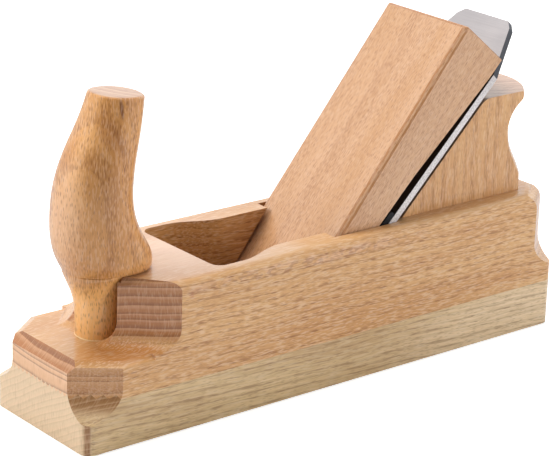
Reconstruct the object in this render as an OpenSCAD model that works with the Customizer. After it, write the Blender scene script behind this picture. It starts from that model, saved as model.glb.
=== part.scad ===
// Wooden smoothing plane: a double iron held by a forked wedge, a front horn and a hand guard.
// The origin is the middle of the sole's underside. +X points to the toe, +Y to the left flank, +Z up.

/* [Body and sole] */
// Length of the body and the sole
body_l = 240; // [225:1:290]
// Width of the body and the sole
body_w = 62; // [56:1:76]
// Height of the body's top above the sole's underside
body_h = 60; // [55:1:72]
// Height of the glue joint between sole and body
joint_z = 20.5; // [17:0.5:22]
// Width of one tooth of the glue joint
tooth_pitch = 2.8; // [2.4:0.1:5]
// Height of the teeth of the glue joint
tooth_h = 1.6; // [0.8:0.1:2.4]
// Rounding of the body's long top edges
top_edge_r = 4; // [1:0.5:5]
// Rounding of the top edge above the heel face
heel_edge_r = 7; // [3:1:9]
// Rounding of the upright corners of the sole
corner_r = 4.5; // [2:0.5:6]

/* [Cut corners] */
// Radius of the cove in which each cut corner ends
corner_cove_r = 12; // [8:0.5:13]
// Length of the corner cut along the flank, at the toe
toe_cut_l = 16.5; // [12:0.5:20]
// Width of the corner cut across the toe face
toe_cut_w = 12.5; // [9:0.5:15]
// Height of the bottom of the cove at the toe
toe_cut_z = 11.5; // [8:0.5:13]
// Length of the corner cut along the flank, at the heel
heel_cut_l = 12.5; // [10:0.5:16]
// Width of the corner cut across the heel face
heel_cut_w = 10.6; // [8:0.2:14]
// Height of the bottom of the cove at the heel
heel_cut_z = 26; // [22:0.5:30]

/* [Front step and horn] */
// Height of the platform that the horn stands on
platform_z = 33.5; // [29:0.5:36]
// Distance from the toe to where the slanting wall meets the flank
wall_back = 43; // [38:1:48]
// Radius of the cove at the foot of the slanting walls
wall_cove_r = 8; // [5:0.5:10]
// Slope of the small facets along the walls' top edges, from upright
wall_facet_tilt = 33; // [25:1:45]
// Chamfer of the platform's front edge
toe_chamfer = 4; // [1:0.5:5]
// Drop of the flat chamfer along the platform's side edges and cut corners
side_chamfer = 1.6; // [1:0.1:2.2]
// Distance from the toe to the horn's axis
horn_back = 26; // [24:1:30]
// Half the width of the milled pocket around the horn
pocket_r = 14; // [14:0.5:16]
// Diameter of the horn's round foot
horn_foot_d = 16.4; // [12:0.2:18]
// Depth of the horn's foot below the platform
horn_foot_l = 20; // [14:1:24]
// Height of the horn above the body's top
horn_h = 67; // [55:1:80]
// Slope of the horn's top face
horn_tilt = 6; // [0:1:15]

/* [Throat] */
// Distance from the toe to the cutting edge
toe_to_edge = 91; // [86:1:98]
// Angle of the bed above the sole
bed_angle = 45; // [43:1:50]
// Width of the mouth slit in front of the cutting edge
mouth_gap = 1.2; // [0.6:0.1:2.5]
// Distance from the toe to the front edge of the throat
throat_back = 63.7; // [60:0.5:66]
// Height at which the throat's front wall starts to slope
throat_bend_z = 36; // [30:1:42]
// Height of the steep stretch above the mouth
mouth_wear_h = 7; // [4:0.5:9]
// Width of each abutment that the wedge bears on
abutment_w = 5.8; // [4:0.2:7]
// Height at which the abutments end
abutment_low_z = 26; // [24:1:32]
// Rounding of the throat's front corners
throat_corner_r = 4.5; // [2:0.5:6]

/* [Iron pack] */
// Width of the cutting iron and the chip breaker
iron_w = 48; // [39:1:51]
// Thickness of the cutting iron
iron_t = 3.1; // [2.5:0.1:4]
// Length of the cutting iron
iron_l = 185; // [175:1:200]
// Grinding angle of the cutting iron
bevel_angle = 25; // [25:1:35]
// Length of the iron's tapered head
head_l = 25; // [15:1:30]
// Width of the iron's head
head_w = 31.5; // [22:0.5:34]
// Width of the slot in the iron
slot_w = 9.6; // [9:0.2:11]
// Distance from the cutting edge to the start of the slot
slot_start = 36; // [33:1:38]
// Length of the slot
slot_l = 84; // [60:1:90]
// Diameter of the hole at the slot's upper end, which lets the screw's head through
keyhole_d = 18; // [17:0.5:20]
// Length of the chip breaker
chip_l = 88; // [80:1:95]
// Thickness of the chip breaker
chip_t = 2.6; // [2:0.1:3.2]
// How far the chip breaker stays back from the cutting edge
chip_setback = 1; // [0.5:0.1:2]
// Diameter of the screw's shank
screw_d = 8; // [6:0.5:8.5]
// Diameter of the screw's head
screw_head_d = 16; // [13:0.5:16.5]
// Thickness of the screw's head
screw_head_t = 3.8; // [3:0.2:4.2]
// Distance from the cutting edge to the screw's axis
screw_up = 45; // [43:1:48]

/* [Wedge] */
// Angle between the wedge's front face and the bed
wedge_angle = 5.5; // [4.5:0.5:7]
// Thickness of the wedge and chip breaker at the body's top, measured level
wedge_level_t = 26; // [23:0.5:28]
// Length of the wedge above the body's top, along its front face
wedge_out = 99; // [85:0.5:110]
// Thickness of the wedge's top end
wedge_top_t = 27.5; // [24:0.5:28]
// Play between the wedge's flanks and the cheeks, each side
wedge_side_play = 0.5; // [0.3:0.1:0.8]
// Angle of the abutments above the sole
abutment_angle = 52.8; // [52:0.2:54]

/* [Hand guard] */
// Width of the hand guard
guard_w = 44; // [38:1:48]
// Height of the hand guard above the body's top
guard_h = 43; // [38:1:48]
// Distance from the heel to the guard's rearmost point
guard_back = 5; // [3:1:8]
// Gap between the iron's back and the guard
guard_gap = 3; // [1:0.1:4]
// Rounding of the guard's top front edge
guard_nose_r = 7; // [3:1:9]
// Diameter of the guard's dowels
dowel_d = 8; // [6:0.5:10]
// Length of the guard's dowels
dowel_l = 28; // [20:1:32]

/* [Strike button] */
// Diameter of the button's head
button_d = 22; // [16:1:26]
// Height of the button's axis above the sole's underside
button_z = 38; // [34:1:42]

/* [Hidden] */
$fn = 48;

// Play that lets glued or bolted round parts go into their holes
round_play = 0.05;
// Play between sliding flat faces
slide_play = 0.1;
// Play between the wedge and what it presses on
wedge_play = 0.3;
// How far cutters run past what they cut
over = 1;
// Size that is larger than anything a cutter has to clear
reach = 90;
// Number of straight stretches in a drawn quarter arc
arc_steps = 8;

toe = body_l / 2;
heel = -body_l / 2;
half_w = body_w / 2;

// Distances from the bed plane, square to it
iron_back_n = slide_play;
iron_front_n = iron_back_n + iron_t;
chip_under_n = iron_front_n + slide_play;
chip_front_n = chip_under_n + chip_t;

// Distances along the bed from where the bed plane meets the sole's underside
edge_above_sole = 0.2;
edge_s = (edge_above_sole - iron_front_n * cos(bed_angle)) / sin(bed_angle);
screw_s = edge_s + screw_up;
edge_x = toe - toe_to_edge;
bed_x = edge_x + edge_s * cos(bed_angle) - iron_front_n * sin(bed_angle);
mouth_x = edge_x + mouth_gap;

// A point given by its distance along the bed and its distance from the bed
function on_bed(s, n) = [
    bed_x - s * cos(bed_angle) + n * sin(bed_angle),
    s * sin(bed_angle) + n * cos(bed_angle)
];
// Distance along the bed at which a height z is reached at distance n from the bed
function bed_s(z, n) = (z - n * cos(bed_angle)) / sin(bed_angle);

// Where the wedge's front face crosses the body's top, and the pitch of that face
wedge_x = on_bed(bed_s(body_h, iron_front_n), iron_front_n)[0] + wedge_level_t;
wedge_pitch = bed_angle + wedge_angle;
// A point given by its distance up the wedge's front face and its distance in front of that face
function on_wedge(u, v) = [
    wedge_x - u * cos(wedge_pitch) + v * sin(wedge_pitch),
    body_h + u * sin(wedge_pitch) + v * cos(wedge_pitch)
];
// Distance up the wedge's front face at which it reaches a height z
function wedge_u(z) = (z - body_h) / sin(wedge_pitch);

// The abutment's face passes just in front of the wedge at its low end
abutment_low_x = on_wedge(wedge_u(abutment_low_z), 0)[0] + wedge_play / sin(wedge_pitch);
function abutment_x(z) = abutment_low_x - (z - abutment_low_z) / tan(abutment_angle);

channel_half = iron_w / 2 + wedge_side_play;
cheek_half = iron_w / 2 - abutment_w;
throat_half = channel_half + 0.5;
throat_x = toe - throat_back;
// The stretch over which the throat widens from the abutments to its front
widening_end = throat_x - 12;
widening_start = widening_end - 24;

horn_x = toe - horn_back;
wall_x = toe - wall_back;

// Points of an arc from angle a0 to angle a1
function arc(centre, r, a0, a1, steps = arc_steps) = [
    for (i = [0:steps]) centre + r * [cos(a0 + (a1 - a0) * i / steps), sin(a0 + (a1 - a0) * i / steps)]
];

// The toothed line of the glue joint, from the right flank to the left one
teeth = floor(body_w / tooth_pitch);
joint_line = [
    for (i = [0:2 * teeth]) [
        -half_w + i * body_w / (2 * teeth),
        joint_z + (i % 2 == 0 ? -tooth_h / 2 : tooth_h / 2)
    ]
];
joint_back = [for (i = [2 * teeth:-1:0]) joint_line[i]];

// Outline in X and Z made solid across the plane
module across(width) {
    rotate([90, 0, 0])
        linear_extrude(height = width, center = true)
            children();
}

// Outline in Y and Z made solid along the plane
module along(x0, length) {
    translate([x0, 0, 0])
        rotate([90, 0, 90])
            linear_extrude(height = length)
                children();
}

// Places what is drawn along X, flat in Z, on the bed
module lay_on_bed(s, n) {
    place = on_bed(s, n);
    translate([place[0], 0, place[1]])
        rotate([180, bed_angle - 180, 0])
            children();
}

// Places what is drawn across at a point of the plan, with its X turned to a bearing
module at_edge(x, y, facing) {
    translate([x, y, 0])
        rotate([0, 0, facing])
            across(reach)
                children();
}

// The cove at the foot of a wall: what is left in the corner below its round stretch, which meets
// the floor at a slight angle
cove_sink = 0.1;
module cove_foot(r) {
    difference() {
        translate([-over, -over])
            square(r + over);
        translate([r, r - cove_sink])
            circle(r);
    }
}

// What a rounded top edge leaves away
module top_edge_away(r) {
    translate([-r, body_h - r])
        difference() {
            square(r + over);
            circle(r);
        }
}

// Everything in front of an upright cut, down to a cove and a level floor, and what is drawn with it
module cove_cut(x, y, facing, r, floor_z) {
    at_edge(x, y, facing) {
        translate([0, floor_z])
            difference() {
                square([reach, reach]);
                cove_foot(r);
            }
        children();
    }
}

// What a chamfer leaves away of an edge of the platform
module platform_chamfer(x, y, facing, drop, run) {
    slack = over * run / drop;
    at_edge(x, y, facing)
        translate([0, platform_z])
            polygon([[-run - slack, over], [slack, -drop - over], [slack, over]]);
}

// The bearings of the corner cuts on the left side
toe_facing = atan2(toe_cut_l, toe_cut_w);
heel_facing = atan2(heel_cut_l, -heel_cut_w);

// The four cut corners; those at the heel have rounded top edges
module corner_cuts() {
    for (side = [-1, 1]) {
        cove_cut(toe - toe_cut_l, side * half_w, side * toe_facing, corner_cove_r, toe_cut_z);
        cove_cut(heel + heel_cut_l, side * half_w, side * heel_facing, corner_cove_r, heel_cut_z)
            top_edge_away(heel_edge_r);
    }
}

// The plan of body and sole, with rounded upright corners
module plan_block() {
    outline = concat(
        arc([toe - corner_r, half_w - corner_r], corner_r, 0, 90),
        arc([heel + corner_r, half_w - corner_r], corner_r, 90, 180),
        arc([heel + corner_r, corner_r - half_w], corner_r, 180, 270),
        arc([toe - corner_r, corner_r - half_w], corner_r, 270, 360)
    );
    translate([0, 0, -over])
        linear_extrude(height = body_h + 2 * over)
            polygon(outline);
}

// Side view of the space that the iron pack and the shavings take, cheek to cheek
module channel_side() {
    polygon([
        on_bed(bed_s(-over, 0), 0),
        on_bed(bed_s(body_h + over, 0), 0),
        [abutment_x(body_h + over), body_h + over],
        [abutment_low_x, abutment_low_z],
        [throat_x, throat_bend_z + 12],
        [throat_x, throat_bend_z],
        [mouth_x + over, mouth_wear_h],
        [mouth_x, 0],
        [mouth_x, -over]
    ]);
}

// Side view of the funnel between the abutments
module funnel_side() {
    polygon([
        [abutment_low_x, abutment_low_z],
        [abutment_x(body_h + over) - over, body_h + over],
        [throat_x, body_h + over],
        [throat_x, throat_bend_z],
        [mouth_x + over, mouth_wear_h]
    ]);
}

// Plan of the funnel: narrow between the abutments, wider in front
module funnel_plan() {
    steps = 12;
    flank = [
        for (i = [0:steps]) [
            widening_start + (widening_end - widening_start) * i / steps,
            cheek_half + (throat_half - cheek_half) * (1 - cos(180 * i / steps)) / 2
        ]
    ];
    left = concat(
        [[widening_start - reach, cheek_half]],
        flank,
        arc([throat_x - throat_corner_r, throat_half - throat_corner_r], throat_corner_r, 90, 0)
    );
    last = len(left) - 1;
    right = [for (i = [last:-1:0]) [left[i][0], -left[i][1]]];
    polygon(concat(left, right));
}

// The throat, through body and sole
module throat() {
    across(2 * channel_half)
        channel_side();
    intersection() {
        across(2 * throat_half)
            funnel_side();
        linear_extrude(height = body_h + 2 * over)
            funnel_plan();
    }
}

// The groove in the bed that the screw's head runs in
groove_w = screw_head_d + 2;
groove_t = screw_head_t + 1.4;
module head_groove(length) {
    lay_on_bed(screw_s - groove_w / 2, -groove_t)
        translate([0, -groove_w / 2, 0])
            cube([length, groove_w, groove_t + over]);
}

// The hole for the horn's foot
module horn_hole() {
    translate([horn_x, 0, platform_z - horn_foot_l - 0.5])
        cylinder(d = horn_foot_d + 2 * round_play, h = reach);
}

// The facet along a slanting wall's top edge, which widens towards the horn
wall_turn = 45;
facet_turn = 39.5;
module wall_facet(side) {
    size = 12;
    inset = 2.3;
    translate([wall_x + inset, side * (half_w - inset), body_h])
        rotate([0, -wall_facet_tilt, side * facet_turn])
            translate([0, -2 * size, -size / 2])
                cube([size, 4 * size, size]);
}

// The blunt ends of the walls at the pocket, and the larger cove that wraps round them
wall_end_r = 0.5;
wall_end_back = 0.3;
end_cove_r = wall_cove_r + 1.5;

// Stands upright things at the two walls' ends
module at_wall_ends() {
    back = wall_end_back * [cos(wall_turn), sin(wall_turn)];
    for (side = [-1, 1])
        translate([horn_x - back[0], side * (pocket_r - back[1]), platform_z])
            children();
}

// The space around the horn and between the walls' ends, open to the toe
module pocket_space() {
    translate([horn_x, 0, platform_z])
        cylinder(r = pocket_r, h = reach);
    translate([horn_x - pocket_r, 0, platform_z])
        rotate([0, 0, -wall_turn])
            cube(reach);
}

// The pocket around the horn, with the coves at the walls' ends
module horn_pocket() {
    foot_r = wall_end_r + end_cove_r;
    difference() {
        pocket_space();
        at_wall_ends()
            cylinder(r = foot_r, h = reach);
    }
    intersection() {
        pocket_space();
        at_wall_ends()
            rotate_extrude()
                translate([wall_end_r, 0])
                    difference() {
                        square([end_cove_r + over, reach]);
                        cove_foot(end_cove_r);
                    }
    }
}

// The step in front: two slanting walls, the platform with its chamfers, and the pocket
module front_step() {
    side_run = 2 * side_chamfer;
    for (side = [-1, 1]) {
        cove_cut(wall_x, side * half_w, side * wall_turn, wall_cove_r, platform_z);
        wall_facet(side);
        platform_chamfer(toe - toe_cut_l, side * half_w, side * toe_facing, side_chamfer, side_run);
        platform_chamfer(wall_x + 1.5 * wall_cove_r + reach / 2, side * half_w, side * 90,
            side_chamfer, side_run);
    }
    horn_pocket();
    platform_chamfer(toe, 0, 0, toe_chamfer, toe_chamfer);
}

// Where the dowels stand, at thirds of the guard's foot
guard_front_x = on_bed(bed_s(body_h, -guard_gap), -guard_gap)[0];
guard_rear_x = heel + guard_back;
dowel_places = [
    guard_front_x + (guard_rear_x - guard_front_x) * 0.32,
    guard_front_x + (guard_rear_x - guard_front_x) * 0.76
];

module dowel_holes() {
    for (x = dowel_places)
        translate([x, 0, body_h - dowel_l / 2 - 0.5])
            cylinder(d = dowel_d + 2 * round_play, h = dowel_l + 1);
}

button_shank_d = 8;
button_shank_l = 22;
button_rim_t = 2;
button_dome_h = 2.2;

module plane_body() {
    color("burlywood")
        difference() {
            intersection() {
                along(heel, body_l)
                    polygon(concat(
                        joint_line,
                        arc([half_w - top_edge_r, body_h - top_edge_r], top_edge_r, 0, 90),
                        arc([top_edge_r - half_w, body_h - top_edge_r], top_edge_r, 90, 180)
                    ));
                plan_block();
            }
            corner_cuts();
            front_step();
            throat();
            head_groove(reach);
            horn_hole();
            dowel_holes();
            at_edge(heel, 0, 180)
                top_edge_away(heel_edge_r);
            translate([heel - over, 0, button_z])
                rotate([0, 90, 0])
                    cylinder(d = button_shank_d + 2 * round_play, h = button_shank_l + over + 0.5);
        }
}

module sole() {
    color("wheat")
        difference() {
            intersection() {
                along(heel, body_l)
                    polygon(concat([[half_w, 0], [-half_w, 0]], joint_line));
                plan_block();
            }
            corner_cuts();
            throat();
            head_groove(reach);
            horn_hole();
        }
}

// The horn's grip, as stations up its height: share of the height, then how far the outline
// reaches behind and ahead of the foot's axis, and half its width
grip_stations = [
    [0.00, 21.5, 13.8, 14.6],
    [0.02, 22.5, 14.4, 15.6],
    [0.08, 21.4, 16.2, 16.0],
    [0.14, 18.6, 17.5, 15.9],
    [0.22, 15.4, 18.2, 15.7],
    [0.33, 13.1, 18.2, 15.4],
    [0.46, 12.4, 17.4, 15.0],
    [0.60, 13.4, 14.6, 14.3],
    [0.72, 15.2, 10.7, 13.2],
    [0.82, 16.7, 7.0, 12.2],
    [0.92, 18.0, 4.2, 11.0],
    [1.00, 18.7, 2.6, 10.3]
];
// The neck below it, as shares of the height between platform and body's top
neck_stations = [
    [0.28, 8.0, 8.0, 8.0],
    [0.48, 8.2, 8.8, 8.4],
    [0.66, 8.6, 9.9, 9.0],
    [0.84, 9.6, 12.0, 11.2],
    [1.00, 12.4, 13.6, 13.6]
];
// Gap under the horn's heel, where it rests on the body's top
heel_seat = 0.2;
ring_points = 36;
ring_power = 2.15;

// A station's ring: an oval whose front and rear halves reach out by different amounts
function oval(t, power) = sign(t) * pow(abs(t), 2 / power);
function ring(z, rear, front, half, slope) = [
    for (i = [0:ring_points - 1])
        let (
            a = 360 * i / ring_points,
            middle = (front - rear) / 2,
            x = middle + (front + rear) / 2 * oval(cos(a), ring_power)
        )
        [horn_x + x, half * oval(sin(a), ring_power), z + slope * (x - middle)]
];
function between(a, b, t) = a + (b - a) * t;
// Smooth values between the stations
function smooth(p0, p1, p2, p3, t) = 0.5 * (
    2 * p1 + (p2 - p0) * t + (2 * p0 - 5 * p1 + 4 * p2 - p3) * t * t
    + (3 * p1 - p0 - 3 * p2 + p3) * t * t * t
);
function refined(list, steps) = [
    for (i = [0:len(list) - 2], k = [0:steps - 1])
        smooth(list[max(i - 1, 0)], list[i], list[i + 1], list[min(i + 2, len(list) - 1)], k / steps),
    list[len(list) - 1]
];

// A closed solid through a stack of rings that have as many points each
module skin(rings) {
    count = len(rings);
    points_each = len(rings[0]);
    points = [for (r = rings, p = r) p];
    sides = [
        for (j = [0:count - 2], i = [0:points_each - 1])
            let (k = (i + 1) % points_each)
            each [
                [j * points_each + i, (j + 1) * points_each + k, j * points_each + k],
                [j * points_each + i, (j + 1) * points_each + i, (j + 1) * points_each + k]
            ]
    ];
    bottom = [for (i = [0:points_each - 1]) i];
    lid = [for (i = [points_each - 1:-1:0]) (count - 1) * points_each + i];
    polyhedron(points, concat(sides, [bottom, lid]), convexity = 6);
}

module horn() {
    grip_z = body_h + heel_seat;
    grip_h = horn_h - heel_seat;
    cap_inset = 0.8;
    cap_rise = 0.5;
    // How deep the foot's round stretch reaches into the neck, as a share of the neck's height
    foot_share = 0.45;
    neck = [
        for (s = refined(neck_stations, 2))
            ring(between(platform_z, body_h, s[0]), s[1], s[2], s[3], 0)
    ];
    grip = [
        for (s = refined(grip_stations, 3))
            ring(grip_z + grip_h * s[0], s[1], s[2], s[3], tan(horn_tilt) * pow(s[0], 3))
    ];
    top = grip_stations[len(grip_stations) - 1];
    cap = ring(body_h + horn_h + cap_rise, top[1] - cap_inset, top[2] - cap_inset,
        top[3] - cap_inset, tan(horn_tilt));
    color("peru") {
        skin(concat(neck, grip, [cap]));
        translate([horn_x, 0, platform_z - horn_foot_l])
            cylinder(d = horn_foot_d, h = horn_foot_l + foot_share * (body_h - platform_z));
    }
}

// The hollow of the guard's back, as share of its height and depth of the hollow
guard_hollow = [
    [0.00, 0.0], [0.13, 0.1], [0.18, 0.7], [0.31, 3.7], [0.44, 6.7], [0.56, 8.0], [0.67, 8.1],
    [0.79, 6.2], [0.875, 2.9], [0.92, 0.4], [0.96, 0.1], [1.00, 0.6]
];
// Radius of the guard's back in plan
guard_plan_r = 28.4;
guard_plan_steps = 16;

// The guard's plan at one height: a round back, and straight on past the front
function guard_ring(z, depth) = concat(
    [[guard_rear_x + reach, -guard_w / 2, z], [guard_rear_x + reach, guard_w / 2, z]],
    [
        for (i = [0:guard_plan_steps])
            let (y = guard_w * (0.5 - i / guard_plan_steps))
            [guard_rear_x + depth + guard_plan_r - sqrt(guard_plan_r * guard_plan_r - y * y), y, z]
    ]
);

module hand_guard() {
    guard_top = body_h + guard_h;
    nose_s = bed_s(guard_top - guard_nose_r, -guard_gap - guard_nose_r);
    nose = on_bed(nose_s, -guard_gap - guard_nose_r);
    color("burlywood")
        difference() {
            intersection() {
                across(body_w)
                    polygon(concat(
                        [[guard_rear_x - over, body_h - over], [guard_front_x - over, body_h - over]],
                        [[guard_front_x, body_h]],
                        arc(nose, guard_nose_r, 90 - bed_angle, 90, 4),
                        [[guard_rear_x - over, guard_top]]
                    ));
                skin([for (p = refined(guard_hollow, 2)) guard_ring(body_h + guard_h * p[0], p[1])]);
            }
            head_groove(2 * reach);
            dowel_holes();
        }
}

module guard_dowels() {
    color("tan")
        for (x = dowel_places)
            translate([x, 0, body_h - dowel_l / 2])
                cylinder(d = dowel_d, h = dowel_l);
}

// The boss of the chip breaker that the screw is threaded in, and the screw's end above it
boss_d = 14;
boss_t = 1.8;
screw_end = 1;

// The fork in the wedge's lower end, which leaves the way of the shavings free
fork_half = cheek_half - 0.2;
fork_top_s = screw_s + 1;
// The groove above the fork that makes room for the boss and the screw's end
boss_room = 1;
boss_room_n = chip_front_n + boss_t + screw_end + boss_room;
// The wedge's back: it lies on the chip breaker up to its bend, then runs to the iron
wedge_back_n = chip_front_n + wedge_play;
wedge_bend_s = edge_s + chip_setback + chip_l + 17;
wedge_touch_s = wedge_bend_s + 52;
wedge_tip_s = 23;
// Chamfers of the long front edges and of the top end's front edge
wedge_side_edge = 1.3;
wedge_end_edge = 0.8;

// A slot with a round upper end that is open at its lower end
module open_slot(half, depth) {
    cylinder(r = half, h = depth);
    translate([-reach, -half, 0])
        cube([reach, 2 * half, depth]);
}

// The chamfer along one long front edge
module wedge_side_chamfer(side) {
    size = 4 * wedge_side_edge;
    translate([wedge_x, side * iron_w / 2, body_h])
        rotate([0, wedge_pitch - 180, 0])
            rotate([side * 45, 0, 0])
                translate([-2 * reach, -size / 2, wedge_side_edge / sqrt(2) - size])
                    cube([4 * reach, size, size]);
}

module wedge() {
    color("burlywood")
        difference() {
            across(iron_w)
                polygon([
                    on_wedge(wedge_out - wedge_end_edge, 0),
                    on_wedge(wedge_out, -wedge_end_edge),
                    on_wedge(wedge_out, -wedge_top_t),
                    on_bed(wedge_touch_s, iron_front_n + wedge_play),
                    on_bed(wedge_bend_s, wedge_back_n),
                    on_bed(wedge_tip_s, wedge_back_n),
                    on_wedge(wedge_u(abutment_low_z + 7), 0)
                ]);
            lay_on_bed(fork_top_s - fork_half, 0)
                open_slot(fork_half, reach);
            lay_on_bed(screw_s + boss_room, 0)
                open_slot(boss_d / 2 + boss_room, boss_room_n);
            for (side = [-1, 1])
                wedge_side_chamfer(side);
        }
}

module cutting_iron() {
    head_round = 3;
    head_s = iron_l - head_l;
    half = iron_w / 2;
    head_half = head_w / 2;
    color("lightslategray")
        lay_on_bed(edge_s, iron_back_n)
            difference() {
                linear_extrude(height = iron_t)
                    difference() {
                        polygon([
                            [0, -half],
                            [head_s, -half],
                            [iron_l - head_round, -head_half],
                            [iron_l, head_round - head_half],
                            [iron_l, head_half - head_round],
                            [iron_l - head_round, head_half],
                            [head_s, half],
                            [0, half]
                        ]);
                        translate([slot_start + slot_w / 2, 0])
                            circle(d = slot_w);
                        translate([slot_start + slot_w / 2, -slot_w / 2])
                            square([slot_l - slot_w / 2, slot_w]);
                        translate([slot_start + slot_l, 0])
                            circle(d = keyhole_d);
                    }
                across(iron_w + 2 * over)
                    polygon([
                        [0, iron_t],
                        [2 * iron_t / tan(bevel_angle), -iron_t],
                        [-over, -iron_t],
                        [-over, iron_t]
                    ]);
            }
}

module chip_breaker() {
    color("slategray")
        lay_on_bed(edge_s + chip_setback, chip_under_n)
            difference() {
                union() {
                    across(iron_w)
                        polygon([
                            [0, 0], [2.5, 2.2], [6, 3.7], [10, 4.1], [14, 3.6], [19, chip_t],
                            [chip_l - 1, chip_t], [chip_l, chip_t - 1], [chip_l, 0],
                            [19, 0], [14, 1.1], [8, 1.5], [3, 0.5]
                        ]);
                    translate([screw_up - chip_setback, 0, chip_t / 2])
                        cylinder(d = boss_d, h = chip_t / 2 + boss_t);
                }
                translate([screw_up - chip_setback, 0, -over])
                    cylinder(d = screw_d + 2 * round_play, h = reach);
            }
}

module cap_iron_screw() {
    slit_w = 1.8;
    slit_t = 1.6;
    color("gray")
        lay_on_bed(screw_s, 0)
            difference() {
                union() {
                    translate([0, 0, -screw_head_t])
                        cylinder(d = screw_head_d, h = screw_head_t);
                    cylinder(d = screw_d, h = chip_front_n + boss_t + screw_end);
                }
                translate([0, 0, -screw_head_t])
                    cube([screw_head_d + over, slit_w, 2 * slit_t], center = true);
            }
}

module strike_button() {
    head_r = button_d / 2;
    dome_r = (head_r * head_r + button_dome_h * button_dome_h) / (2 * button_dome_h);
    dome_a = asin(head_r / dome_r);
    color("silver")
        translate([heel, 0, button_z])
            rotate([0, -90, 0])
                rotate_extrude()
                    polygon(concat(
                        [[0, -button_shank_l], [button_shank_d / 2, -button_shank_l],
                            [button_shank_d / 2, 0], [head_r, 0]],
                        arc([0, button_rim_t + button_dome_h - dome_r], dome_r, 90 - dome_a, 90, 6)
                    ));
}

plane_body();
sole();
horn();
hand_guard();
guard_dowels();
wedge();
cutting_iron();
chip_breaker();
cap_iron_screw();
strike_button();
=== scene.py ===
# %% [markdown]
# # A wooden smoothing plane
# The plane is a beech block on a paler hornbeam sole, with a carved horn in front, a hand guard behind,
# and a double iron that a forked wedge holds in the throat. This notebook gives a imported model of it
# its finish: softened edges, a smooth horn, and wood and steel that are worked out from their own grain.

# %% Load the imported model
import math

import bmesh
import bpy
from mathutils import Matrix, Vector


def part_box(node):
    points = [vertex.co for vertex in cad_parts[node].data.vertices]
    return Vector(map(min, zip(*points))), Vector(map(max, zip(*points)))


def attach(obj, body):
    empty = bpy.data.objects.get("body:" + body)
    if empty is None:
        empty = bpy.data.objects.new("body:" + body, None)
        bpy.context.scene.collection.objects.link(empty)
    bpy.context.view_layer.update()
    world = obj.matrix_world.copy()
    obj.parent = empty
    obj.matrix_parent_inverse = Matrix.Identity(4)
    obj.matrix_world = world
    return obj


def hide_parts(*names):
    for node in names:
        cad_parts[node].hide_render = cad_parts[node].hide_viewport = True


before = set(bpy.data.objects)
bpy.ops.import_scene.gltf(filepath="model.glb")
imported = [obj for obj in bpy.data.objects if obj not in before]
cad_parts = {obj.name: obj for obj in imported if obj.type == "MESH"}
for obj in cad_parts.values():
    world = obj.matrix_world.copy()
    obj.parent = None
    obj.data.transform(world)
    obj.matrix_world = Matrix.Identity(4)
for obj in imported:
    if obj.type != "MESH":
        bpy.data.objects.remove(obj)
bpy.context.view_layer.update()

MM = 0.001
scene = bpy.context.scene
print("pieces in the model:", ", ".join(sorted(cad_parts)))

# %% [markdown]
# ## The view
# The camera stands where the photographer stood: in front of the toe on the plane's left, a little above
# it, with a long lens and a slight roll. It could be placed by coordinates, but its place is worked out
# here from angles and a distance, so a reader can turn it without guessing.

# %% Camera
VIEW_AZIMUTH = math.radians(140.71)
VIEW_ELEVATION = math.radians(19.47)
VIEW_ROLL = math.radians(1.79)
VIEW_DISTANCE = 949.03 * MM
VIEW_TARGET = Vector((0, -10.1, 54.1)) * MM
LENS_MM = 153.96
SENSOR_MM = 36
NEAREST, FARTHEST = 0.05, 50


def make_camera():
    back = Vector((
        math.sin(VIEW_AZIMUTH) * math.cos(VIEW_ELEVATION),
        -math.cos(VIEW_AZIMUTH) * math.cos(VIEW_ELEVATION),
        math.sin(VIEW_ELEVATION),
    ))
    level = Vector((math.cos(VIEW_AZIMUTH), math.sin(VIEW_AZIMUTH), 0))
    right = level * math.cos(VIEW_ROLL) + back.cross(level) * math.sin(VIEW_ROLL)
    up = back.cross(right)
    camera = bpy.data.objects.new("camera", bpy.data.cameras.new("camera"))
    scene.collection.objects.link(camera)
    turn = Matrix((right, up, back)).transposed().to_4x4()
    camera.matrix_world = Matrix.Translation(VIEW_TARGET + back * VIEW_DISTANCE) @ turn
    camera.data.lens = LENS_MM
    camera.data.sensor_width = SENSOR_MM
    camera.data.clip_start = NEAREST
    camera.data.clip_end = FARTHEST
    scene.camera = camera
    return camera


camera = make_camera()
print("camera at", [round(v, 3) for v in camera.matrix_world.translation])

# %% [markdown]
# ## Building shader trees
# A material is a tree of nodes. It could be wired by hand in the editor, but in code a few small helpers
# keep the recipes short enough to read and to change: one adds a node and connects or sets its inputs,
# the others do arithmetic and mixing on sockets.

# %% Nodes and arithmetic
def srgb(red, green, blue):
    """A colour as a screen shows it, from 0 to 255, as the linear colour that a shader wants."""
    linear = []
    for value in (red, green, blue):
        share = value / 255
        linear.append(share / 12.92 if share <= 0.04045 else ((share + 0.055) / 1.055) ** 2.4)
    return (*linear, 1.0)


def add(tree, kind, inputs=None, **settings):
    """Adds a node of this kind. An input that is a socket is linked, and any other is set."""
    node = tree.nodes.new(kind)
    for name, value in settings.items():
        setattr(node, name, value)
    for name, value in (inputs or {}).items():
        if isinstance(value, bpy.types.NodeSocket):
            tree.links.new(value, node.inputs[name])
        else:
            node.inputs[name].default_value = value
    return node


def maths(tree, operation, first, second=0.0, clamp=False):
    inputs = {0: first, 1: second}
    return add(tree, "ShaderNodeMath", inputs, operation=operation, use_clamp=clamp).outputs[0]


def times(tree, first, second):
    return maths(tree, "MULTIPLY", first, second)


def vector_maths(tree, operation, first, second=(0, 0, 0), output="Vector"):
    inputs = {0: first, 1: second}
    return add(tree, "ShaderNodeVectorMath", inputs, operation=operation).outputs[output]


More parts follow.
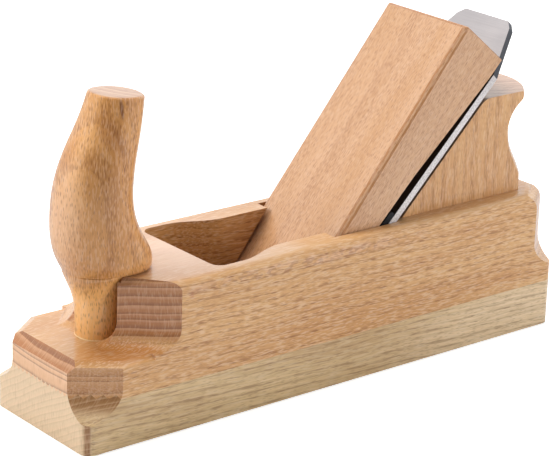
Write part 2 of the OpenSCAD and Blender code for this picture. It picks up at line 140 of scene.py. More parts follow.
def ramp(tree, value, start, end, low=0.0, high=1.0):
    """Goes smoothly from low at start to high at end."""
    node = add(
        tree, "ShaderNodeMapRange",
        {"Value": value, "From Min": start, "From Max": end, "To Min": low, "To Max": high},
        interpolation_type="SMOOTHSTEP",
    )
    return node.outputs["Result"]


def hump(tree, value, start, top, fall, end):
    """Rises from 0 at start to 1 at top, and falls from 1 at fall to 0 at end."""
    return times(tree, ramp(tree, value, start, top), ramp(tree, value, fall, end, 1.0, 0.0))


print("screen grey 128 is", round(srgb(128, 128, 128)[0], 3), "of white in linear light")

# %% Colours and patterns
# The Mix node has sockets for every kind of data, and these are the numbers of its colour ones
MIX_SHARE, MIX_FIRST, MIX_SECOND, MIX_RESULT = 0, 6, 7, 2


def mixed(tree, share, first, second):
    inputs = {MIX_SHARE: share, MIX_FIRST: first, MIX_SECOND: second}
    return add(tree, "ShaderNodeMix", inputs, data_type="RGBA").outputs[MIX_RESULT]


def layered(tree, colour, layers):
    """The colour with layers laid over it in order, each with its mask, its share and its own colour."""
    for mask, share, tint in layers:
        colour = mixed(tree, times(tree, mask, share), colour, tint)
    return colour


def stretched_noise(tree, place, density, detail=2.0, roughness=0.55, output="Fac"):
    """Noise whose spots per metre differ along X, Y and Z of the place that it is given."""
    scaled = add(tree, "ShaderNodeMapping", {"Vector": place, "Scale": density})
    noise = add(
        tree, "ShaderNodeTexNoise",
        {"Vector": scaled.outputs[0], "Scale": 1.0, "Detail": detail, "Roughness": roughness},
    )
    return noise.outputs[output]


def turned_place(tree, place, origin, turn, scale=(1, 1, 1)):
    """The place seen from a frame with its own origin in millimetres, turn and unit lengths."""
    return add(
        tree, "ShaderNodeMapping",
        {"Vector": place, "Location": Vector(origin) * MM, "Rotation": turn, "Scale": scale},
        vector_type="TEXTURE",
    ).outputs[0]


def spots_per_metre(*sizes):
    """The density that gives spots of these sizes in millimetres along X, Y and Z."""
    return [1 / (size * MM) for size in sizes]


# %% Starting and ending a material
def new_tree(name):
    material = bpy.data.materials.new(name)
    material.use_nodes = True
    material.node_tree.nodes.clear()
    return material, material.node_tree


def finish_tree(tree, colour, roughness, height, depth, **constants):
    """Ends a tree in a shader whose surface is this many metres deep where the height is 1."""
    shader = add(tree, "ShaderNodeBsdfPrincipled", {"Base Color": colour, "Roughness": roughness, **{
        name.replace("_", " "): value for name, value in constants.items()
    }})
    bump = add(tree, "ShaderNodeBump", {"Height": height, "Distance": depth, "Strength": 1.0})
    tree.links.new(bump.outputs["Normal"], shader.inputs["Normal"])
    add(tree, "ShaderNodeOutputMaterial", {"Surface": shader.outputs[0]})


# %% [markdown]
# ## Wood
# A picture of wood could be wrapped round each piece, but it would stretch over the horn and show the
# same face on all sides of a block. Wood is solid, so here its pattern runs through the block and not
# over the surface. The recipe works in a frame whose X axis is the pith of the tree. Rings are even
# steps of the distance from it. Rays show as short dark dashes where a face runs along the grain, lie in
# rows between the rings, and have a paler streak beside them. A face that looks along the grain shows
# end grain, pinkish with clear rings and fine rays across them, and a face cut at a slant is browner
# than either. Marks are single soft ovals that lie under the flecks. Some are the wood's own colour, such
# as the horn's knot. Others are painted light and shade: pale patches where light falls, and dark ones
# where shadow or shade falls.

# %% Dashes, rings, and marks of stain or painted light
CELL_LENGTH, CELL_WIDTH = 1.5, 2.0
DASH_CORE = (0.12, 0.46)
CHANCE_SPAN = 0.4
RING_NOISE = 0.45
RING_SHIFT = 1.3
MARK_CORE = 0.35
BLOTCH_EDGE = (0.47, 0.60)


def dashes(tree, place, length, width, reach, chance_from):
    """Dark dashes of this length and width in millimetres along X, that reach this deep along Y."""
    density = spots_per_metre(CELL_LENGTH * length, CELL_WIDTH * reach, CELL_WIDTH * width)
    cells = add(tree, "ShaderNodeMapping", {"Vector": place, "Scale": density}).outputs[0]
    spots = add(tree, "ShaderNodeTexVoronoi", {"Vector": cells, "Scale": 1.0, "Randomness": 1.0})
    chance = add(tree, "ShaderNodeSeparateColor", {"Color": spots.outputs["Color"]}).outputs[0]
    core = ramp(tree, spots.outputs["Distance"], *DASH_CORE, 1.0, 0.0)
    return times(tree, core, ramp(tree, chance, chance_from, chance_from + CHANCE_SPAN))


def growth_rings(tree, place, gap):
    """How far a point is through its year's ring, from 0 at its start to 1 at the line that ends it."""
    across = vector_maths(tree, "MULTIPLY", place, (0, 1, 1))
    radius = vector_maths(tree, "LENGTH", across, output="Value")
    count = maths(tree, "DIVIDE", radius, gap * MM)
    uneven = add(
        tree, "ShaderNodeTexNoise", {"W": count, "Scale": RING_NOISE, "Detail": 1.0},
        noise_dimensions="1D",
    )
    shift = times(tree, uneven.outputs["Fac"], RING_SHIFT)
    return maths(tree, "FRACT", maths(tree, "ADD", count, shift))


def stain_or_painted_light(tree, colour, place, mark):
    """The colour with one soft oval mark, whether a stain or painted light: its origin and size in mm,
    turn, tint, share and blotches.
    """
    origin, size, turn, tint, share, blotches = mark
    local = turned_place(tree, place, origin, turn, [value * MM for value in size])
    distance = vector_maths(tree, "LENGTH", local, output="Value")
    strength = ramp(tree, distance, MARK_CORE, 1.0, share, 0.0)
    if blotches:
        spots = stretched_noise(tree, place, blotches, 1.0)
        strength = times(tree, strength, ramp(tree, spots, *BLOTCH_EDGE))
    return mixed(tree, strength, colour, tint)


# %% Where a point is in its tree and how its face is cut
DRIFT = 2.7 * MM
DRIFT_DENSITY = (22, 45, 45)
NEARLY_LEVEL = (0.5, 0.9)
SLANT = (0.3, 0.6, 0.78, 0.97)


def place_in_tree(tree, place, pith, turn):
    """The place in a frame whose X axis is the pith, with the slow drift that real grain has."""
    straight = turned_place(tree, place, pith, turn)
    noise = stretched_noise(tree, straight, DRIFT_DENSITY, 1.0, output="Color")
    drift = vector_maths(tree, "SUBTRACT", noise, (0.5, 0.5, 0.5))
    drift = vector_maths(tree, "MULTIPLY", drift, (0, DRIFT, DRIFT))
    return vector_maths(tree, "ADD", straight, drift)


def calmness(tree, normal, calm_top):
    """1 on upright faces, and less by calm_top on a level one, where planing leaves fewer flecks."""
    upward = vector_maths(tree, "DOT_PRODUCT", normal, (0, 0, 1), output="Value")
    return ramp(tree, upward, *NEARLY_LEVEL, 1.0, 1.0 - calm_top)


def cuts(tree, normal, turn, end_range, slant_depth):
    """How much a face shows end grain, and how much of that is cut at a slant."""
    grain = Matrix.Rotation(turn[1], 3, "Y") @ Vector((1, 0, 0))
    facing = vector_maths(tree, "DOT_PRODUCT", normal, grain, output="Value")
    facing = maths(tree, "ABSOLUTE", facing)
    end_share = ramp(tree, facing, *end_range)
    return end_share, times(tree, hump(tree, facing, *SLANT), slant_depth)


# %% Wood
LATE_WOOD = (0.55, 0.92, 0.95, 1.0)
EARLY_WOOD = (0.05, 0.45)
RAY_ROWS = (0.30, 0.80, 0.12, 1.0)
FIBRE_DENSITY = (60, 1500, 1500)
FIBRE_RANGE = (0.35, 0.75)
TINT_RANGE = (0.32, 0.68)
TROUGH_RANGE, CREST_RANGE = (0.50, 0.64), (0.50, 0.36)
LONG_CHANCE, SHORT_CHANCE = 0.3, 0.1
EARLY_DEPTH = 0.8
STREAK = 0.72
END_RAY_DENSITY = (150, 2300, 260)
PALE_RAYS, DARK_RAYS = (0.47, 0.72), (0.26, 0.46, 1.0, 0.0)
END_EARLY, END_LATE = srgb(238, 200, 160), srgb(112, 64, 30)
END_RAY_PALE, END_RAY_DARK = srgb(240, 204, 168), srgb(114, 68, 36)
END_EARLY_SHARE, PALE_RAY_SHARE, DARK_RAY_SHARE = 0.24, 0.20, 0.26
DASH_HEIGHT, WEAVE_HEIGHT, FIBRE_HEIGHT = -0.7, 0.8, 0.6
GRAIN_DEPTH = 0.07 * MM
SMOOTHEST, FIBRE_ROUGHNESS = 0.44, 0.20
VARNISH, VARNISH_ROUGHNESS = 0.9, 0.2


def wood(name, pale, warm, dark, end, slant, pith, turn, ring_gap, ring_depth=0.14, end_depth=0.42,
         coarse=(3.4, 0.42, 0.42), fine=(1.6, 0.2, 0.3), weave=(4.0, 0.6, 0.4, 0.3), fibre=0.14,
         mottle=(9, 60), slant_depth=0.7, end_range=(0.50, 0.70), calm_top=0.0, reach=None, marks=()):
    """A varnished wood. Its pith and ring gap are in millimetres. Coarse and fine dashes have a length,
    a width and a share, and the weave has a length, a width, and the shares of its dark and pale
    streaks. Flecks go as deep as they are wide, unless reach says how deep."""
    material, tree = new_tree(name)
    where = add(tree, "ShaderNodeTexCoord")
    normal = where.outputs["Normal"]
    local = place_in_tree(tree, where.outputs["Object"], pith, turn)

    share = growth_rings(tree, local, ring_gap)
    late = hump(tree, share, *LATE_WOOD)
    early = ramp(tree, share, *EARLY_WOOD, 1.0, 0.0)
    rows = ramp(tree, share, *RAY_ROWS)

    fibres = stretched_noise(tree, local, FIBRE_DENSITY, 3.0)
    tint = stretched_noise(tree, local, (mottle[0], mottle[1], mottle[1]), 2.0)
    woven = stretched_noise(tree, local, spots_per_metre(weave[0], reach or weave[1], weave[1]), 1.0)
    long_dashes = dashes(tree, local, coarse[0], coarse[1], reach or coarse[1], LONG_CHANCE)
    short_dashes = dashes(tree, local, fine[0], fine[1], reach or fine[1], SHORT_CHANCE)
    calm = calmness(tree, normal, calm_top)
    troughs = times(tree, times(tree, ramp(tree, woven, *TROUGH_RANGE), rows), calm)
    long_dashes = times(tree, times(tree, long_dashes, rows), calm)
    short_dashes = times(tree, short_dashes, calm)

    side = mixed(tree, ramp(tree, tint, *TINT_RANGE), pale, warm)
    for mark in marks:
        side = stain_or_painted_light(tree, side, where.outputs["Object"], mark)
    pale_streak = [1 - STREAK * (1 - value) for value in pale]
    side = layered(tree, side, (
        (late, ring_depth, dark),
        (early, EARLY_DEPTH * ring_depth, pale),
        (ramp(tree, fibres, *FIBRE_RANGE), fibre, dark),
        (ramp(tree, woven, *CREST_RANGE), weave[3], pale_streak),
        (troughs, weave[2], dark),
        (short_dashes, fine[2], dark),
        (long_dashes, coarse[2], dark),
    ))

    end_share, slant_share = cuts(tree, normal, turn, end_range, slant_depth)
    rays = stretched_noise(tree, local, END_RAY_DENSITY, 2.0)
    cut = layered(tree, mixed(tree, slant_share, end, slant), (
        (early, END_EARLY_SHARE, END_EARLY),
        (late, end_depth, END_LATE),
        (ramp(tree, rays, *PALE_RAYS), PALE_RAY_SHARE, END_RAY_PALE),
        (ramp(tree, rays, *DARK_RAYS), DARK_RAY_SHARE, END_RAY_DARK),
    ))

    height = times(tree, long_dashes, DASH_HEIGHT)
    height = maths(tree, "SUBTRACT", height, times(tree, woven, WEAVE_HEIGHT))
    height = maths(tree, "ADD", height, times(tree, fibres, FIBRE_HEIGHT))
    rough = maths(tree, "ADD", times(tree, fibres, FIBRE_ROUGHNESS), SMOOTHEST)
    finish_tree(tree, mixed(tree, end_share, side, cut), rough, height, GRAIN_DEPTH,
                Coat_Weight=VARNISH, Coat_Roughness=VARNISH_ROUGHNESS)
    return material


# %% Marks of stain or painted light and shade, and turns
# Each mark: origin and size in millimetres, turn, tint, share, and the density of its blotches
LEVEL = (0, 0, 0)
UPRIGHT = (0, -math.pi / 2, 0)
HORN_TURN = (-math.radians(39), -math.pi / 2, 0)
WEDGE_TURN = (0, -math.radians(129.5), 0)
BODY_TURN = (0, -math.radians(1.2), 0)
SOLE_TURN = (0, -math.radians(2.5), 0)
KNOT_TURN = (0, math.radians(32), 0)
SHADE_TURN = (0, math.radians(14), 0)

KNOT = ((90.4, 10.3, 124.0), (1.0, 3.0, 5.5), LEVEL, srgb(104, 50, 18), 0.85, None)
KNOT_SHADE = ((96.0, 10.5, 115.5), (5.5, 6.0, 18), KNOT_TURN, srgb(150, 92, 44), 0.45, None)
# Painted shade: darkens the middle of the horn's near face, between its better lit sides
MID_PAINTED_SHADE = ((101, 13, 98), (11, 9, 34), SHADE_TURN, srgb(158, 102, 48), 0.5, None)
# Painted light: brightens the horn's neck to gold, though the grip above shades it
NECK_PAINTED_LIGHT = ((94, 0, 42), (26, 26, 28), LEVEL, srgb(255, 196, 120), 0.9, None)
# Painted light: pales the front of the horn's grip, the side that the key lamp lights
FRONT_PAINTED_LIGHT = ((114, 3, 92), (11, 15, 42), LEVEL, srgb(236, 190, 150), 0.55, None)
# Painted shadow: darkens the step on the near side of the horn's foot, where the horn's shadow falls
PLATFORM_PAINTED_SHADOW = ((96, 20, 34), (26, 20, 3), LEVEL, srgb(196, 128, 62), 0.8, None)
# Painted sheen: pales the body's top faces to a pinkish white, as varnish shines under the light above
TOP_PAINTED_SHEEN = ((52, 0, 61.5), (60, 46, 3.4), LEVEL, srgb(232, 202, 186), 0.65, None)
# Painted light: pales the low rear of the near side and sole, where more light falls
HEEL_PAINTED_LIGHT = ((-115, 31, 6), (110, 60, 26), LEVEL, srgb(238, 212, 174), 0.75, None)
EDGE_BLOBS = ((20, 31, 55.3), (75, 4, 2.8), LEVEL, srgb(146, 94, 60), 0.5, (330, 330, 560))
EDGE_PINK = ((20, 31, 56.0), (95, 4, 3.4), LEVEL, srgb(222, 176, 140), 0.55, (140, 140, 260))
SHOULDER_PATCH = ((70.5, 31, 54.0), (4.5, 4, 2.4), LEVEL, srgb(180, 112, 70), 0.8, (200, 200, 600))

# %% The woods of this plane
body_wood = wood(
    "beech_body", pale=srgb(214, 166, 108), warm=srgb(200, 146, 86), dark=srgb(134, 78, 30),
    end=srgb(218, 169, 126), slant=srgb(160, 94, 34), pith=(0, 4, 200), turn=BODY_TURN, ring_gap=3.1,
    coarse=(3.4, 0.42, 0.65), fine=(1.8, 0.24, 0.35), weave=(4.4, 0.55, 0.5, 0.4),
    end_depth=0.55, slant_depth=0.85, calm_top=0.9,
    marks=(PLATFORM_PAINTED_SHADOW, TOP_PAINTED_SHEEN, EDGE_PINK, EDGE_BLOBS, SHOULDER_PATCH),
)
sole_wood = wood(
    "hornbeam_sole", pale=srgb(214, 184, 136), warm=srgb(194, 160, 112), dark=srgb(124, 88, 50),
    end=srgb(216, 188, 150), slant=srgb(146, 98, 46), pith=(0, 150, -260), turn=SOLE_TURN, ring_gap=2.4,
    coarse=(4.5, 0.34, 0.5), fine=(2.2, 0.24, 0.4), weave=(9.0, 0.7, 0.4, 0.2), fibre=0.25,
    ring_depth=0.20, end_depth=0.12, slant_depth=0.95, end_range=(0.35, 0.55), marks=(HEEL_PAINTED_LIGHT,),
)
horn_wood = wood(
    "beech_horn", pale=srgb(218, 160, 94), warm=srgb(188, 124, 54), dark=srgb(122, 68, 22),
    end=srgb(180, 132, 92), slant=srgb(180, 122, 72), pith=(46, -26, 60), turn=HORN_TURN, ring_gap=6.0,
    coarse=(2.2, 0.32, 0.6), fine=(1.7, 0.24, 0.6), weave=(3.0, 0.5, 0.3, 0.25), mottle=(16, 50),
    ring_depth=0.13, end_depth=0.18, slant_depth=0.0, end_range=(0.88, 0.98), reach=5,
    marks=(MID_PAINTED_SHADE, KNOT_SHADE, KNOT, NECK_PAINTED_LIGHT, FRONT_PAINTED_LIGHT),
)
guard_wood = wood(
    "beech_guard", pale=srgb(214, 164, 108), warm=srgb(197, 142, 86), dark=srgb(134, 80, 36),
    end=srgb(210, 166, 138), slant=srgb(206, 158, 116), pith=(-150, -90, 60), turn=UPRIGHT, ring_gap=3.4,
    coarse=(3.0, 0.32, 0.5), fine=(1.6, 0.22, 0.4), weave=(5.0, 0.55, 0.4, 0.3),
    ring_depth=0.12, end_depth=0.22, slant_depth=0.3,
)
WEDGE_LOG = {
    "pith": (-80, 40, -200), "turn": WEDGE_TURN, "ring_gap": 7.0, "ring_depth": 0.10, "end_depth": 0.20,
}
wedge_wood = wood(
    "beech_wedge", pale=srgb(212, 168, 130), warm=srgb(200, 152, 106), dark=srgb(146, 92, 48),
    end=srgb(206, 160, 124), slant=srgb(190, 136, 92), **WEDGE_LOG,
    coarse=(2.6, 0.3, 0.5), fine=(1.8, 0.22, 0.65), weave=(2.4, 0.4, 0.2, 0.2), fibre=0.2, mottle=(5, 45),
)
wedge_edge_wood = wood(
    "beech_wedge_edges", pale=srgb(190, 136, 88), warm=srgb(176, 120, 70), dark=srgb(130, 78, 38),
    end=srgb(186, 128, 80), slant=srgb(180, 122, 74), **WEDGE_LOG,
)
woods = (body_wood, sole_wood, horn_wood, guard_wood, wedge_wood, wedge_edge_wood)
print("woods:", {material.name: len(material.node_tree.nodes) for material in woods}, "nodes each")

# %% [markdown]
# ## Steel
# One grey metal could do for every steel piece, but each is finished in its own way. The cutting iron is
# ground at its head and its edge, so fine scratches run across it and spread its highlights. Between
# them its face is darkened as painted shade, for the gap that the wedge leaves over it. Its narrow
# edges are rough and paler. The chamfers of its cropped head are darker, the chip breaker and the screw
# are blued, and the button is turned. One recipe gives all of them, with other colours and scratches.

# %% Steel
ACROSS = (2600, 60, 2600)
GRIT = (1500, 1500, 1500)
CLOUD_DENSITY = (40, 40, 40)
CLOUD_RANGE, CLOUD_SHARE = (0.35, 0.7), 0.5
SCRATCH_RANGE = (0.35, 0.65)
SCRATCH_ROUGHNESS = 0.22
SCRATCH_DEPTH = 0.015 * MM
# Painted shade: the iron's face is darkened between two heights, for the shaded gap under the wedge
GAP_PAINTED_SHADE = srgb(48, 44, 42)
GAP_SHADE_SHARE = 0.95
GAP_SHADE_FADE = (3 * MM, 1 * MM)


def steel(name, colour, shade, roughness, turn, scratch=0.25, density=ACROSS, metallic=1.0,
          painted_shade_band=None):
    """Scratched steel, darkened between two heights as painted shade if a band is given."""
    material, tree = new_tree(name)
    where = add(tree, "ShaderNodeTexCoord")
    local = turned_place(tree, where.outputs["Object"], (0, 0, 0), turn)
    scratches = stretched_noise(tree, local, density, 3.0)
    clouds = stretched_noise(tree, local, CLOUD_DENSITY, 3.0)
    look = layered(tree, colour, (
        (ramp(tree, clouds, *CLOUD_RANGE), CLOUD_SHARE, shade),
        (ramp(tree, scratches, *SCRATCH_RANGE), scratch, shade),
    ))
    # Painted shade for the gap between the wedge and the iron
    if painted_shade_band:
        low, high = painted_shade_band
        height = add(tree, "ShaderNodeSeparateXYZ", {"Vector": where.outputs["Object"]}).outputs["Z"]
        gap_shaded = hump(tree, height, low, low + GAP_SHADE_FADE[0], high - GAP_SHADE_FADE[1], high)
        look = layered(tree, look, ((gap_shaded, GAP_SHADE_SHARE, GAP_PAINTED_SHADE),))
    rough = maths(tree, "ADD", times(tree, scratches, SCRATCH_ROUGHNESS), roughness)
    finish_tree(tree, look, rough, scratches, SCRATCH_DEPTH, Metallic=metallic)
    return material


# %% The steels of this plane
BED_TURN = (0, -math.radians(135), 0)
# Heights of the painted shade on the iron's face, where the wedge lies over it
GAP_SHADE_BAND = (24 * MM, 116 * MM)

iron_steel = steel("ground_steel", srgb(206, 200, 200), srgb(184, 180, 182), 0.40, BED_TURN,
                   painted_shade_band=GAP_SHADE_BAND)
edge_steel = steel("grey_edge_steel", srgb(240, 236, 236), srgb(190, 184, 184), 0.5, BED_TURN,
                   scratch=0.8, density=GRIT, metallic=0.15)
chip_steel = steel("blued_steel", srgb(60, 62, 66), srgb(30, 30, 34), 0.38, BED_TURN)
crop_steel = steel("blued_crop_steel", srgb(104, 106, 112), srgb(76, 78, 84), 0.42, BED_TURN,
                   density=GRIT)
button_steel = steel("turned_steel", srgb(178, 176, 174), srgb(140, 138, 138), 0.34, LEVEL)
print("steels:", [m.name for m in (iron_steel, edge_steel, chip_steel, crop_steel, button_steel)])

# %% [markdown]
# ## Pieces that keep the model's shape
# Body, sole, wedge, guard, irons, screw and button are already right in the model, but their edges are
# perfectly sharp, which nothing real is. They could be modelled again, but then they would no longer fit
# each other. So a copy of each mesh is welded and its flat faces are joined, then a narrow bevel softens
# every sharp edge, and weighted normals keep the large faces flat. A piece may have another material
# for some of its faces, such as the narrow edges of the iron, or for its new bevels, as on the wedge.

# %% Softened copies
SHARP = math.radians(22)
WELD = 0.002 * MM
FLAT = math.radians(0.6)
PLAIN_WEIGHT = 50


def softened(node, name, material, body, width, keep_sharp=None, segments=2, accents=(),
             edge_material=None):
    """A copy of a model node with its edges softened, except those that keep_sharp says yes to."""
    mesh = bpy.data.meshes.new(name)
    bm = bmesh.new()
    bm.from_mesh(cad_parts[node].data)
    bmesh.ops.remove_doubles(bm, verts=bm.verts, dist=WELD)
    bmesh.ops.dissolve_limit(bm, angle_limit=FLAT, verts=bm.verts, edges=bm.edges)
    weights = bm.edges.layers.float.new("bevel_weight_edge")
    softened_edges = 0
    for edge in bm.edges:
        if len(edge.link_faces) != 2:
            continue
        sharp = edge.calc_face_angle() > SHARP
        edge.smooth = not sharp
        if sharp and not (keep_sharp and keep_sharp(edge)):
            edge[weights] = 1.0
            softened_edges += 1
    for face in bm.faces:
        face.smooth = True
        for index, (_, belongs) in enumerate(accents, start=1):
            if belongs(face):
                face.material_index = index
    bm.to_mesh(mesh)
    bm.free()
    piece = bpy.data.objects.new(name, mesh)
    scene.collection.objects.link(piece)
    for one in (material, *(accent for accent, _ in accents)):
        mesh.materials.append(one)
    bevel = piece.modifiers.new("softened", "BEVEL")
    bevel.limit_method = "WEIGHT"
    bevel.width = width
    bevel.segments = segments
    bevel.use_clamp_overlap = True
    bevel.miter_outer = "MITER_ARC"
    if edge_material:
        mesh.materials.append(edge_material)
        bevel.material = len(mesh.materials) - 1
    normals = piece.modifiers.new("flat_faces", "WEIGHTED_NORMAL")
    normals.keep_sharp = True
    normals.weight = PLAIN_WEIGHT
    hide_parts(node)
    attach(piece, body)
    print(name, "has", softened_edges, "softened edges")


# %% Which edges and faces are special
JOINT_LOW, JOINT_HIGH = 19.6 * MM, 21.4 * MM
NARROW = 0.9
HEAD_DROP = 16 * MM
_, iron_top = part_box("cutting_iron")
blade_normal = Vector((1, 0, -1)).normalized()


def at_glue_joint(edge):
    """The teeth of the joint between body and sole stay sharp, because glue fills them."""
    return all(JOINT_LOW < v.co.z < JOINT_HIGH for v in edge.verts)


def is_narrow_edge(face):
    return abs(face.normal.y) > NARROW


def is_cropped_head(face):
    high = face.calc_center_median().z > iron_top.z - HEAD_DROP
    return high and abs(face.normal.dot(blade_normal)) < NARROW


print("the iron's head ends", round(iron_top.z / MM, 1), "mm above the floor")

# %% Soften each piece
softened("plane_body", "body_block", body_wood, "plane", 0.45 * MM, at_glue_joint)
softened("sole", "sole_plate", sole_wood, "plane", 0.45 * MM, at_glue_joint)
softened("wedge", "wedge_block", wedge_wood, "wedge_body", 0.7 * MM, segments=1,
         edge_material=wedge_edge_wood)
softened("hand_guard", "guard_block", guard_wood, "plane", 0.6 * MM)
softened("cutting_iron", "iron_blade", iron_steel, "iron", 0.2 * MM,
         accents=((edge_steel, is_narrow_edge), (crop_steel, is_cropped_head)))
softened("chip_breaker", "chip_blade", chip_steel, "chip", 0.2 * MM)
softened("cap_iron_screw", "clamp_screw", chip_steel, "screw", 0.25 * MM)
softened("strike_button", "heel_button", button_steel, "plane", 0.4 * MM)
for dowel_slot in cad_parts["guard_dowels"].material_slots:
    dowel_slot.material = guard_wood

# %% [markdown]
# ## Horn
# The horn is carved, so it has no straight line in it: a round foot, a neck that swells into the palm's
# seat, a heel that lies on the body, and a grip that leans forward and then back. It could be sculpted,
# but then no size of it could be read or changed. Instead it starts as a circle of points that is
# extruded from station to station and fitted to each one's oval. Subdivision then rounds it, and close
# pairs of stations hold the crisp lines at its heel and its flat top.

# %% The horn's stations
HORN_FROM_TOE = 26 * MM
HEEL_SEAT = 0.2 * MM
PLATFORM = 33.5 * MM
FOOT_RADIUS = 8.2
GRIP_TALL = 66.8 * MM
HORN_TILT = math.tan(math.radians(6))
RING_POINTS = 40
OVAL_POWER = 2.15
# The heel is widest this many millimetres behind the foot's axis, and the horn is widest in its own
# middle from this share of its height up
HEEL_SPREAD = 8
EVEN_FROM = 0.22
_, body_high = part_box("plane_body")
HORN_X = body_high.x - HORN_FROM_TOE
NECK_TOP = body_high.z
GRIP_FROM = NECK_TOP + HEEL_SEAT

# Share of the height, then reach behind and ahead of the foot's axis and half width in millimetres
NECK = [
    (-0.75, 8.2, 8.2, 8.2), (-0.4, 8.2, 8.2, 8.2), (-0.02, 8.2, 8.2, 8.2), (0.28, 8.2, 8.3, 8.2),
    (0.48, 8.2, 8.8, 8.4), (0.66, 8.6, 9.9, 9.0), (0.84, 9.6, 12.0, 11.2), (1.0, 12.4, 13.6, 13.6),
]
GRIP = [
    (0.0005, 12.7, 13.68, 13.7), (0.001, 19.6, 13.7, 14.9), (0.002, 20.2, 13.73, 15.1),
    (0.02, 20.8, 14.2, 16.2), (0.08, 20.6, 16.2, 17.6), (0.14, 18.9, 17.5, 16.9),
    (0.22, 15.9, 18.2, 16.1), (0.33, 13.1, 18.2, 15.4), (0.46, 12.4, 17.4, 15.0),
    (0.60, 13.4, 14.6, 14.3), (0.72, 15.2, 10.7, 13.2), (0.82, 16.7, 7.0, 12.2),
    (0.92, 18.0, 4.2, 11.0), (0.985, 18.6, 2.8, 10.4),
]
TOP = (1.0, 18.7, 2.6, 10.3)
# How far inside the top's outline and how high above it the rings of its rounded edge lie
CAP = ((0.0, -0.6), (0.25, -0.1), (0.75, 0.25), (1.3, 0.42), (3.0, 0.45))


def horn_stations():
    """Each ring's height, its reach behind and ahead, its half width, how far behind the foot's axis it
    is widest, and the share that tilts it."""
    for share, behind, ahead, half in NECK:
        yield PLATFORM + share * (NECK_TOP - PLATFORM), behind, ahead, half, 0, 0
    for share, behind, ahead, half in GRIP:
        evenness = min(share / EVEN_FROM, 1)
        widest = evenness * (behind - ahead) / 2 + (1 - evenness) * HEEL_SPREAD
        yield GRIP_FROM + share * GRIP_TALL, behind, ahead, half, widest, share
    share, behind, ahead, half = TOP
    for inset, rise in CAP:
        height = GRIP_FROM + GRIP_TALL + rise * MM
        yield height, behind - inset, ahead - inset, half - inset, (behind - ahead) / 2, share


print("the horn has", len(list(horn_stations())), "stations")

# %% Fitting a ring to a station
ALMOST_A_TURN = 2 * math.pi - 1e-6


def in_order(verts, centre_x):
    """The points of a ring by their angle, from the one that is straight ahead of this centre."""
    return sorted(verts, key=lambda v: math.atan2(v.co.y, v.co.x - centre_x) % ALMOST_A_TURN)


def oval(value):
    return math.copysign(abs(value) ** (2 / OVAL_POWER), value)


def fit_ring(verts, height, behind, ahead, half, widest, share):
    """Moves a ring to one station's oval. The top of the horn leans, so the ring tilts with it."""
    middle = (ahead - behind) / 2
    slope = HORN_TILT * share ** 3
    for index, vert in enumerate(verts):
        angle = 2 * math.pi * index / RING_POINTS
        reach = ahead + widest if math.cos(angle) > 0 else behind - widest
        along = reach * oval(math.cos(angle)) - widest
        rise = slope * (along - middle) * MM
        vert.co = (HORN_X + along * MM, half * MM * oval(math.sin(angle)), height + rise)


# %% Horn
def make_horn():
    bm = bmesh.new()
    ring = bmesh.ops.create_circle(
        bm, segments=RING_POINTS, radius=FOOT_RADIUS * MM, cap_ends=True,
    )["verts"]
    first, *others = horn_stations()
    fit_ring(in_order(ring, 0), *first)
    edges = [edge for edge in bm.edges if len(edge.link_faces) == 1]
    for station in others:
        made = bmesh.ops.extrude_edge_only(bm, edges=edges)["geom"]
        ring = {item for item in made if isinstance(item, bmesh.types.BMVert)}
        lines = [item for item in made if isinstance(item, bmesh.types.BMEdge)]
        edges = [edge for edge in lines if ring.issuperset(edge.verts)]
        centre = sum((v.co for v in ring), Vector()) / len(ring)
        fit_ring(in_order(ring, centre.x), *station)
    bmesh.ops.contextual_create(bm, geom=edges)
    for face in bm.faces:
        face.smooth = True
    bmesh.ops.recalc_face_normals(bm, faces=bm.faces)
    mesh = bpy.data.meshes.new("horn_grip")
    bm.to_mesh(mesh)
    bm.free()
    piece = bpy.data.objects.new("horn_grip", mesh)
    scene.collection.objects.link(piece)
    mesh.materials.append(horn_wood)
    smooth = piece.modifiers.new("rounded", "SUBSURF")
    smooth.levels = smooth.render_levels = 2
    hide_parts("horn")
    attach(piece, "plane")
    return piece


horn = make_horn()
print("horn has", len(horn.data.polygons), "faces before it is rounded")

# %% [markdown]
# ## Glue bead
# A little glue was pressed out where the horn's foot enters the body, and dried as a thin pale bead. It
# could be a torus that is set in place, but spinning a small circle of points once around the foot
# keeps it on the foot's own axis and radius.

# %% Glue bead
BEAD_RADIUS = 0.35 * MM
BEAD_POINTS = 8
BEAD_STEPS = 48
GLUE_LUMPS = (400, 400, 400)
GLUE_PALE, GLUE_DARK = srgb(250, 226, 178), srgb(228, 184, 122)
GLUE_ROUGHNESS = 0.3
GLUE_DEPTH = 0.1 * MM


def make_glue():
    material, tree = new_tree("dried_glue")
    where = add(tree, "ShaderNodeTexCoord")
    lumps = stretched_noise(tree, where.outputs["Object"], GLUE_LUMPS, 2.0)
    finish_tree(tree, mixed(tree, lumps, GLUE_PALE, GLUE_DARK), GLUE_ROUGHNESS, lumps, GLUE_DEPTH)
    return material


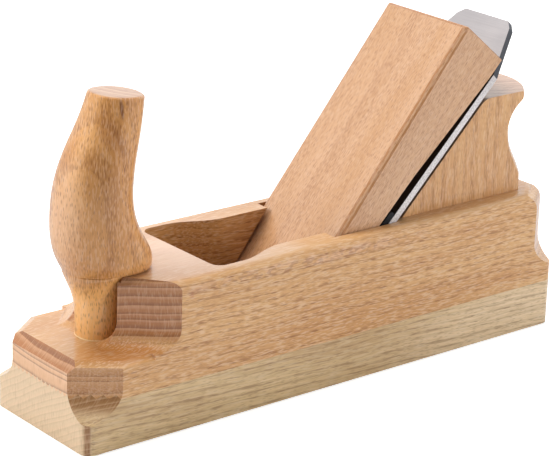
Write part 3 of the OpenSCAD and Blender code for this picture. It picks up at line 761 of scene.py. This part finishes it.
def make_glue_bead():
    bm = bmesh.new()
    start = Matrix.Translation((HORN_X + FOOT_RADIUS * MM, 0, PLATFORM))
    made = bmesh.ops.create_circle(
        bm, segments=BEAD_POINTS, radius=BEAD_RADIUS, matrix=start @ Matrix.Rotation(math.pi / 2, 4, "X"),
    )
    edges = {edge for vert in made["verts"] for edge in vert.link_edges}
    bmesh.ops.spin(
        bm, geom=[*made["verts"], *edges], cent=(HORN_X, 0, PLATFORM), axis=(0, 0, 1),
        angle=2 * math.pi, steps=BEAD_STEPS, use_merge=True,
    )
    bmesh.ops.recalc_face_normals(bm, faces=bm.faces)
    for face in bm.faces:
        face.smooth = True
    mesh = bpy.data.meshes.new("glue_bead")
    bm.to_mesh(mesh)
    bm.free()
    mesh.materials.append(make_glue())
    bead = bpy.data.objects.new("glue_bead", mesh)
    scene.collection.objects.link(bead)
    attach(bead, "plane")
    print("glue bead has", len(mesh.polygons), "faces")


make_glue_bead()

# %% [markdown]
# ## Floor and light
# The photograph has a white ground and a large soft light high in front of the toe, on the plane's
# right, so the horn throws a soft shadow back over the step and the near side is in half shade. A
# picture of a studio could light it, but lamps can be read and moved: a large one in front, one above,
# and a weaker one on the near side. The white comes from the floor and the sky as the camera and
# reflections see them, so it adds no light to the wood.

# %% Floor
FLOOR_SIZE = 12
FLOOR_DROP = 0.4 * MM
FLOOR_PAINT = (0.82, 0.82, 0.82, 1)
FLOOR_GLOW = 0.7


def seen_directly(tree, *kinds):
    """1 where the camera, or another of these kinds of ray, meets the white ground, and 0 otherwise."""
    path = add(tree, "ShaderNodeLightPath")
    seen = path.outputs["Is Camera Ray"]
    for kind in kinds:
        seen = maths(tree, "ADD", seen, path.outputs[kind], clamp=True)
    return seen


def make_floor():
    bm = bmesh.new()
    bmesh.ops.create_grid(bm, x_segments=1, y_segments=1, size=FLOOR_SIZE / 2)
    bmesh.ops.translate(bm, verts=bm.verts, vec=(0, 0, -FLOOR_DROP))
    mesh = bpy.data.meshes.new("floor")
    bm.to_mesh(mesh)
    bm.free()
    floor = bpy.data.objects.new("floor", mesh)
    scene.collection.objects.link(floor)
    material, tree = new_tree("white_floor")
    paint = add(tree, "ShaderNodeBsdfDiffuse", {"Color": FLOOR_PAINT})
    strength = times(tree, seen_directly(tree, "Is Transmission Ray"), FLOOR_GLOW)
    glow = add(tree, "ShaderNodeEmission", {"Strength": strength})
    both = add(tree, "ShaderNodeAddShader", {0: paint.outputs[0], 1: glow.outputs[0]})
    add(tree, "ShaderNodeOutputMaterial", {"Surface": both.outputs[0]})
    mesh.materials.append(material)


make_floor()
print("floor is", FLOOR_SIZE, "m wide")

# %% Sky
SKY_LIGHT = 0.24
BACKDROP_LIGHT = 1.25
ROOM_LIGHT = 0.1
ROOM_EDGE = (0.2, 0.8)
ROOM_SIDE = (math.sin(VIEW_AZIMUTH), -math.cos(VIEW_AZIMUTH), 0)


def make_sky():
    """A white sky for reflections, darker on the photographer's side, where the room was."""
    world = bpy.data.worlds.new("white_sky")
    scene.world = world
    world.use_nodes = True
    tree = world.node_tree
    tree.nodes.clear()
    where = add(tree, "ShaderNodeTexCoord")
    towards = vector_maths(tree, "DOT_PRODUCT", where.outputs["Generated"], ROOM_SIDE, output="Value")
    room = ramp(tree, towards, *ROOM_EDGE, BACKDROP_LIGHT, ROOM_LIGHT)
    seen = seen_directly(tree, "Is Glossy Ray", "Is Transmission Ray")
    strength = maths(tree, "MAXIMUM", times(tree, seen, room), SKY_LIGHT)
    sky = add(tree, "ShaderNodeBackground", {"Color": (1, 1, 1, 1), "Strength": strength})
    add(tree, "ShaderNodeOutputWorld", {"Surface": sky.outputs[0]})


make_sky()

# %% Lamps
LAMP_TARGET = Vector((0, 0, 0.05))
SOFT_WHITE = (1.0, 0.985, 0.98)
PLAIN_WHITE = (1, 1, 1)
# Name, place and size in metres, power in watts, and colour
LAMPS = (
    ("key_lamp", (1.25, -0.55, 0.85), 0.7, 15, SOFT_WHITE),
    ("top_lamp", (-0.10, -0.45, 1.50), 1.2, 18.5, SOFT_WHITE),
    ("fill_lamp", (-0.75, 1.00, 0.30), 0.8, 8.6, PLAIN_WHITE),
)


def make_lamp(name, place, size, power, colour):
    data = bpy.data.lights.new(name, "AREA")
    data.shape = "DISK"
    data.size = size
    data.energy = power
    data.color = colour
    light = bpy.data.objects.new(name, data)
    scene.collection.objects.link(light)
    light.location = place
    light.visible_glossy = False
    light.rotation_mode = "QUATERNION"
    light.rotation_quaternion = (Vector(place) - LAMP_TARGET).to_track_quat("Z", "Y")


for lamp in LAMPS:
    make_lamp(*lamp)
scene.view_settings.view_transform = "Standard"
print("lamps:", [name for name, *_ in LAMPS])
